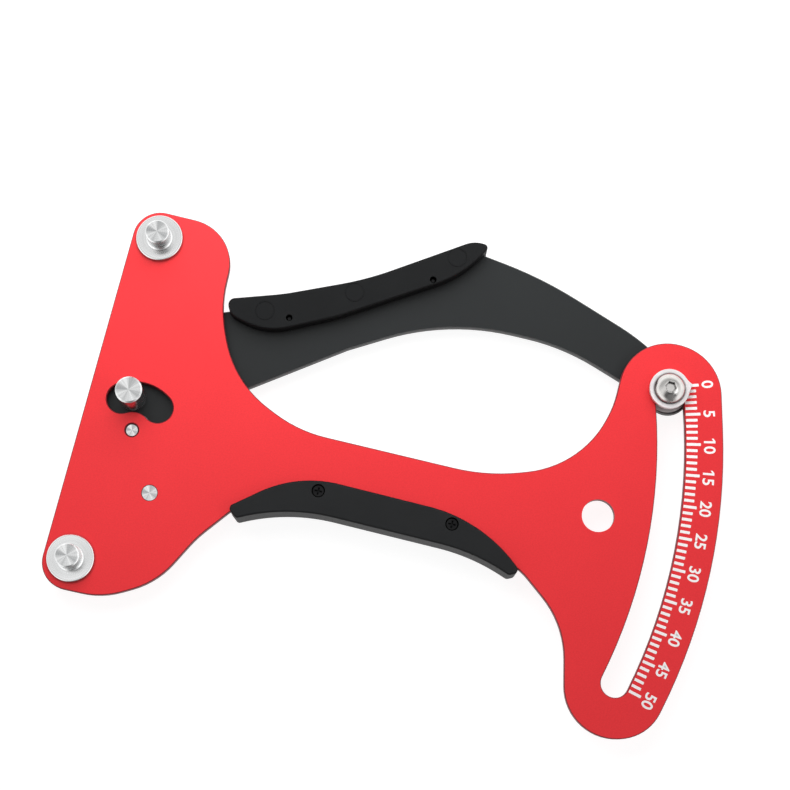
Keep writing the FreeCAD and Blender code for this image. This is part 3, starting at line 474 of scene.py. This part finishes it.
def scale_marks():
    """Fifty-one bars of ink, each with its two outer corners cut."""
    mesh = bpy.data.meshes.new("scale_marks")
    work = bmesh.new()
    half = MARK_WIDTH_MM / 2
    for step in range(SCALE_STEPS + 1):
        top = long_mark_top(step) - (0 if step % NUMBER_EVERY == 0 else SHORTER_MM)
        outline = [
            (MARK_INNER_MM, -half),
            (top - MARK_CUT_MM, -half),
            (top, -half + MARK_CUT_MM),
            (top, half - MARK_CUT_MM),
            (top - MARK_CUT_MM, half),
            (MARK_INNER_MM, half),
        ]
        turn = Matrix.Rotation(math.radians(mark_angle(step)), 2)
        spots = [turn @ Vector(corner) for corner in outline]
        rows = []
        for height in (PLATE_TOP_MM, PLATE_TOP_MM + PRINT_THICKNESS_MM):
            rows.append([work.verts.new(place(spot.x, spot.y, height)) for spot in spots])
        close_prism(work, *rows)
    work.to_mesh(mesh)
    work.free()
    piece = new_piece("scale_marks", mesh, PRINT)
    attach(piece, "frame")


def number_mesh(figures):
    """The ink of a number about its middle. A one gets the flag that the font leaves out."""
    line = bpy.data.curves.new("number_line", "FONT")
    line.body = figures
    line.align_x = "CENTER"
    line.align_y = "CENTER"
    line.size = DIGIT_HEIGHT_MM * MM / FONT_HEIGHT_SHARE
    line.offset = STROKE_ADDED_MM * MM
    line.extrude = PRINT_THICKNESS_MM * MM / 2
    line.resolution_u = 6
    mesh = evaluated_mesh(line)
    if not figures.startswith("1"):
        return mesh
    left = min(vertex.co.x for vertex in mesh.vertices)
    top = max(vertex.co.y for vertex in mesh.vertices)
    width = FLAG_WIDTH_MM * MM
    work = bmesh.new()
    work.from_mesh(mesh)
    rows = []
    for height in (-line.extrude, line.extrude):
        spots = [(left + x * width, top + y * width, height) for x, y in FLAG_SHARES]
        rows.append([work.verts.new(spot) for spot in spots])
    close_prism(work, *rows)
    bmesh.ops.translate(work, vec=(width / 2, 0, 0), verts=work.verts)
    work.to_mesh(mesh)
    work.free()
    return mesh


def scale_numbers():
    """A number beyond each long mark, with its head turned outwards."""
    for step in range(0, SCALE_STEPS + 1, NUMBER_EVERY):
        piece = new_piece(f"number_{step}", number_mesh(str(step)), PRINT)
        angle = mark_angle(step)
        height = PLATE_TOP_MM + PRINT_THICKNESS_MM / 2
        piece.location = polar_place(long_mark_top(step) + NUMBER_BEYOND_MM, angle, height)
        piece.rotation_euler = (0, 0, math.radians(angle - 90))
        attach(piece, "frame")


# The return spring, one wire with a loop round each post and a coil between them
SPRING_ARM_MM = Vector((-9.5, -6.5, 2.35))
SPRING_BODY_MM = Vector((10.15, -17.1, 2.35))
LOOP_RADIUS_MM = 1.85
COIL_RADIUS_MM = 1.8
COIL_SHOULDER_MM = 4.3
COIL_TURNS = 10
WIRE_RADIUS_MM = 0.45
COIL_POINTS = 12
ARM_LOOP_DEGREES = (-40, -250)
BODY_LOOP_DEGREES = (70, -140)
LOOP_STEP_DEGREES = 15


def spring_points():
    """The wire's middle line: a loop, the coil and the other loop, about the pivot axis."""
    along = (SPRING_BODY_MM - SPRING_ARM_MM).normalized()
    up = Vector((0, 0, 1))
    side = up.cross(along)

    def loop(centre, first, last):
        """A turn of the wire round a post, between two angles from the coil's direction."""
        steps = abs(last - first) // LOOP_STEP_DEGREES
        for step in range(steps + 1):
            angle = math.radians(first + (last - first) * step / steps)
            yield centre + (along * math.cos(angle) + side * math.sin(angle)) * LOOP_RADIUS_MM

    coil_length = (SPRING_BODY_MM - SPRING_ARM_MM).length - 2 * COIL_SHOULDER_MM
    yield from loop(SPRING_ARM_MM, *ARM_LOOP_DEGREES)
    for step in range(COIL_POINTS * COIL_TURNS + 1):
        turn = step / COIL_POINTS
        angle = 2 * math.pi * turn
        middle = SPRING_ARM_MM + along * (COIL_SHOULDER_MM + coil_length * turn / COIL_TURNS)
        yield middle + (up * math.cos(angle) + side * math.sin(angle)) * COIL_RADIUS_MM
    yield from loop(SPRING_BODY_MM, *BODY_LOOP_DEGREES)


def return_spring():
    """A round wire along the points, between its two posts."""
    line = bpy.data.curves.new("spring_line", "CURVE")
    line.dimensions = "3D"
    line.bevel_depth = WIRE_RADIUS_MM * MM
    line.bevel_resolution = 5
    line.resolution_u = 3
    line.use_fill_caps = True
    points = list(spring_points())
    spline = line.splines.new("NURBS")
    spline.points.add(len(points) - 1)
    for spot, point in zip(points, spline.points):
        point.co = (*place(*spot), 1.0)
    spline.order_u = 3
    spline.use_endpoint_u = True
    piece = new_piece("return_spring_wire", evaluated_mesh(line), MATERIALS["spring_wire"], smooth=True)
    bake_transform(piece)
    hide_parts("return_spring")


# The pointer's screw, whose head is a smooth dome from its rim to the socket
HEAD_RADIUS_MM = 4.7
HEAD_HEIGHT_MM = 2.75
DOME_RADIUS_MM = 5.5
SHANK_RADIUS_MM = 2.5
SHANK_LENGTH_MM = 12.0
SOCKET_FLATS_MM = 3.0
SOCKET_DEPTH_MM = 1.6
LAND_RADIUS_MM = 1.85
TIP_BREAK_MM = 0.15
RIM_BREAK_MM = 0.1
SOCKET_BREAK_MM = 0.08
SHARP_DEGREES = 35
AROUND = 96
DOME_STEPS = 14


def screw_rings():
    """Radius and height of each ring from the shank's tip to the land round the socket."""
    yield SHANK_RADIUS_MM - TIP_BREAK_MM, -SHANK_LENGTH_MM
    yield SHANK_RADIUS_MM, TIP_BREAK_MM - SHANK_LENGTH_MM
    yield SHANK_RADIUS_MM, 0
    yield HEAD_RADIUS_MM - RIM_BREAK_MM, 0
    yield HEAD_RADIUS_MM, RIM_BREAK_MM
    land_drop = math.sqrt(DOME_RADIUS_MM**2 - LAND_RADIUS_MM**2)
    for step in range(DOME_STEPS + 1):
        radius = HEAD_RADIUS_MM + (LAND_RADIUS_MM - HEAD_RADIUS_MM) * step / DOME_STEPS
        height = math.sqrt(DOME_RADIUS_MM**2 - radius**2) - land_drop
        yield radius, HEAD_HEIGHT_MM + height
    yield LAND_RADIUS_MM - RIM_BREAK_MM, HEAD_HEIGHT_MM


def pointer_screw():
    """The screw in one closed mesh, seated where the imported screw's head ends."""
    work = bmesh.new()
    low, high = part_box("pointer_screw")
    middle = (low + high) / 2
    seat = Vector((middle.x, middle.y, high.z - HEAD_HEIGHT_MM * MM))
    turns = [2 * math.pi * index / AROUND for index in range(AROUND)]

    def ring(radii, height):
        """One ring of points, whose radius may change with the turn."""
        row = []
        for turn, radius in zip(turns, radii):
            spot = Vector((radius * math.cos(turn), radius * math.sin(turn), height))
            row.append(work.verts.new(seat + spot * MM))
        return row

    hexagon = []
    for turn in turns:
        from_flat = turn % (math.pi / 3) - math.pi / 6
        hexagon.append(SOCKET_FLATS_MM / 2 / math.cos(from_flat))
    opened = [radius + SOCKET_BREAK_MM for radius in hexagon]

    rows = [ring([radius] * AROUND, height) for radius, height in screw_rings()]
    rows.append(ring(opened, HEAD_HEIGHT_MM))
    rows.append(ring(hexagon, HEAD_HEIGHT_MM - SOCKET_BREAK_MM))
    rows.append(ring(hexagon, HEAD_HEIGHT_MM - SOCKET_DEPTH_MM))
    for lower, upper in zip(rows, rows[1:]):
        for index in range(AROUND):
            after = (index + 1) % AROUND
            work.faces.new([lower[index], lower[after], upper[after], upper[index]])
    work.faces.new(reversed(rows[0]))
    work.faces.new(rows[-1])
    mesh = bpy.data.meshes.new("pointer_screw_domed")
    work.to_mesh(mesh)
    work.free()
    piece = new_piece("pointer_screw_domed", mesh, DOME_STEEL, smooth=True)
    mesh.set_sharp_from_angle(angle=math.radians(SHARP_DEGREES))
    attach(piece, "arm")
    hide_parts("pointer_screw")


# Camera, lights and floor
CAMERA_PLACE = Vector((0.012684, -0.099231, 0.60811))
CAMERA_AIM = Vector((-0.007056, 0.016039, 0.0112))
CAMERA_UP = Vector((-0.2374, 0.9523, 0.1918))
CAMERA_LENS = 92.02
SENSOR_WIDTH = 36


def look(from_place, towards, up):
    """A place and a turn that looks at a point, with a direction that stays upward."""
    back = (from_place - towards).normalized()
    right = up.cross(back).normalized()
    turn = Matrix((right, back.cross(right), back)).transposed().to_4x4()
    return Matrix.Translation(from_place) @ turn


def in_picture(right, up, out):
    """A direction given by the picture's right and up and by what comes towards the viewer."""
    back = (CAMERA_PLACE - CAMERA_AIM).normalized()
    across = CAMERA_UP.cross(back).normalized()
    return across * right + back.cross(across) * up + back * out


def make_camera():
    data = bpy.data.cameras.new("camera")
    data.lens = CAMERA_LENS
    data.sensor_width = SENSOR_WIDTH
    camera = bpy.data.objects.new("camera", data)
    bpy.context.scene.collection.objects.link(camera)
    camera.matrix_world = look(CAMERA_PLACE, CAMERA_AIM, CAMERA_UP)
    bpy.context.scene.camera = camera


def area_light(name, direction, distance, width, height, power):
    """A soft box whose width lies along the picture's width as far as it can."""
    data = bpy.data.lights.new(name, "AREA")
    data.shape = "RECTANGLE"
    data.size = width
    data.size_y = height
    data.energy = power
    lamp = bpy.data.objects.new(name, data)
    bpy.context.scene.collection.objects.link(lamp)
    spot = CAMERA_AIM + in_picture(*direction).normalized() * distance
    lamp.matrix_world = look(spot, CAMERA_AIM, in_picture(0, 0, 1))
    return lamp


def make_lights():
    """Three soft boxes. The first two are hidden from mirrors, so that flat metal keeps its grey."""
    key = area_light(
        "key", direction=(-0.2, 0.6, 0.85), distance=0.38, width=0.35, height=0.25, power=1.05
    )
    strip = area_light(
        "strip", direction=(0.1, 0.93, 0.4), distance=0.15, width=0.28, height=0.06, power=0.22
    )
    area_light("fill", direction=(0.9, -0.1, 1.0), distance=0.9, width=0.5, height=0.3, power=0.8)
    for lamp in (key, strip):
        lamp.visible_glossy = False


def seen_directly(tree):
    """One where the camera, a mirror or glass looks, and zero for light that bounces."""
    path = tree.nodes.new("ShaderNodeLightPath")
    seen = path.outputs["Is Camera Ray"]
    for kind in ("Is Glossy Ray", "Is Transmission Ray"):
        either = tree.nodes.new("ShaderNodeMath")
        either.operation = "MAXIMUM"
        tree.links.new(seen, either.inputs[0])
        tree.links.new(path.outputs[kind], either.inputs[1])
        seen = either.outputs[0]
    return seen


def ramp(tree, value, from_low, from_high, low, high):
    """A value stretched from one range to another, whose ends may be sockets."""
    node = tree.nodes.new("ShaderNodeMapRange")
    names = ("Value", "From Min", "From Max", "To Min", "To Max")
    for name, given in zip(names, (value, from_low, from_high, low, high)):
        if isinstance(given, bpy.types.NodeSocket):
            tree.links.new(given, node.inputs[name])
        else:
            node.inputs[name].default_value = given
    return node.outputs["Result"]


def vector_maths(tree, operation, first, second=None):
    """An operation on one socket's vector, or on that and a fixed vector."""
    node = tree.nodes.new("ShaderNodeVectorMath")
    node.operation = operation
    tree.links.new(first, node.inputs[0])
    if second is not None:
        node.inputs[1].default_value = second
    return node


# The room that polished metal mirrors, as strengths of white light
ROOM = 0.92
ROOM_BEHIND = 0.5
HORIZON = 1.3
VIEWER = 0.06
VIEWER_LOW = 0.22
ROOM_FOR_BOUNCES = 0.25

# Where one part of the room gives way to the next: by nearness to the viewer, by height and by
# alignment with the viewer's bearing
VIEWER_DIRECTION = (0.1, -0.56, 0.83)
BEHIND_TO_ROOM = (0.0, 0.5)
ROOM_TO_VIEWER = (0.69, 0.85)
HORIZON_TO_ROOM = (0.24, 0.42)
ASIDE_TO_VIEWER = (0.8, 0.98)
LOW_TO_OVERHEAD = (0.75, 0.85)

# The floor
FLOOR_REACH = 3.0
FLOOR_FOR_BOUNCES = (0.8, 0.8, 0.8, 1)
FLOOR_SEEN = (0.25, 0.25, 0.25, 1)
FLOOR_GLOW = 0.9


def make_world():
    """A white room that is dark where the viewer stands, from overhead down to the horizon."""
    world = bpy.data.worlds.new("world")
    bpy.context.scene.world = world
    world.use_nodes = True
    tree = world.node_tree
    background = tree.nodes["Background"]
    background.inputs["Color"].default_value = (1, 1, 1, 1)
    spot = tree.nodes.new("ShaderNodeTexCoord").outputs["Generated"]
    split = tree.nodes.new("ShaderNodeSeparateXYZ")
    tree.links.new(spot, split.inputs[0])
    height = split.outputs["Z"]
    viewer = in_picture(*VIEWER_DIRECTION)
    nearness = vector_maths(tree, "DOT_PRODUCT", spot, viewer).outputs["Value"]
    level = vector_maths(tree, "MULTIPLY", spot, (1, 1, 0)).outputs["Vector"]
    bearing = vector_maths(tree, "NORMALIZE", level).outputs["Vector"]
    viewer_bearing = Vector((viewer.x, viewer.y, 0)).normalized()
    alignment = vector_maths(tree, "DOT_PRODUCT", bearing, viewer_bearing).outputs["Value"]

    behind = ramp(tree, nearness, *BEHIND_TO_ROOM, ROOM_BEHIND, ROOM)
    room = ramp(tree, nearness, *ROOM_TO_VIEWER, behind, VIEWER)
    with_horizon = ramp(tree, height, *HORIZON_TO_ROOM, HORIZON, room)
    under_viewer = ramp(tree, alignment, *ASIDE_TO_VIEWER, with_horizon, VIEWER_LOW)
    mirrored = ramp(tree, height, *LOW_TO_OVERHEAD, under_viewer, with_horizon)
    direct = seen_directly(tree)
    strength = ramp(tree, direct, 0, 1, ROOM_FOR_BOUNCES, mirrored)
    tree.links.new(strength, background.inputs["Strength"])


def make_floor():
    """A white floor that glows a little where it is seen, and keeps the part's shadow."""
    mesh = bpy.data.meshes.new("floor")
    work = bmesh.new()
    corners = [(-1, -1), (1, -1), (1, 1), (-1, 1)]
    work.faces.new([work.verts.new((x * FLOOR_REACH, y * FLOOR_REACH, 0)) for x, y in corners])
    work.to_mesh(mesh)
    work.free()
    graph = Graph("floor")
    graph.nodes.remove(graph.shader)
    plain = graph.add("ShaderNodeBsdfDiffuse", {"Color": FLOOR_FOR_BOUNCES})
    dim = graph.add("ShaderNodeBsdfDiffuse", {"Color": FLOOR_SEEN})
    glow = graph.add("ShaderNodeEmission", {"Color": (1, 1, 1, 1), "Strength": FLOOR_GLOW})
    added = graph.add("ShaderNodeAddShader")
    graph.links.new(dim.outputs[0], added.inputs[0])
    graph.links.new(glow.outputs[0], added.inputs[1])
    mixed = graph.add("ShaderNodeMixShader")
    graph.links.new(seen_directly(graph.material.node_tree), mixed.inputs[0])
    graph.links.new(plain.outputs[0], mixed.inputs[1])
    graph.links.new(added.outputs[0], mixed.inputs[2])
    graph.links.new(mixed.outputs[0], graph.nodes["Material Output"].inputs["Surface"])
    floor = new_piece("floor", mesh, graph.material)


bpy.context.scene.view_settings.view_transform = "Standard"
make_camera()
make_lights()
make_world()
make_floor()
dress_nodes()
scale_marks()
scale_numbers()
return_spring()
pointer_screw()
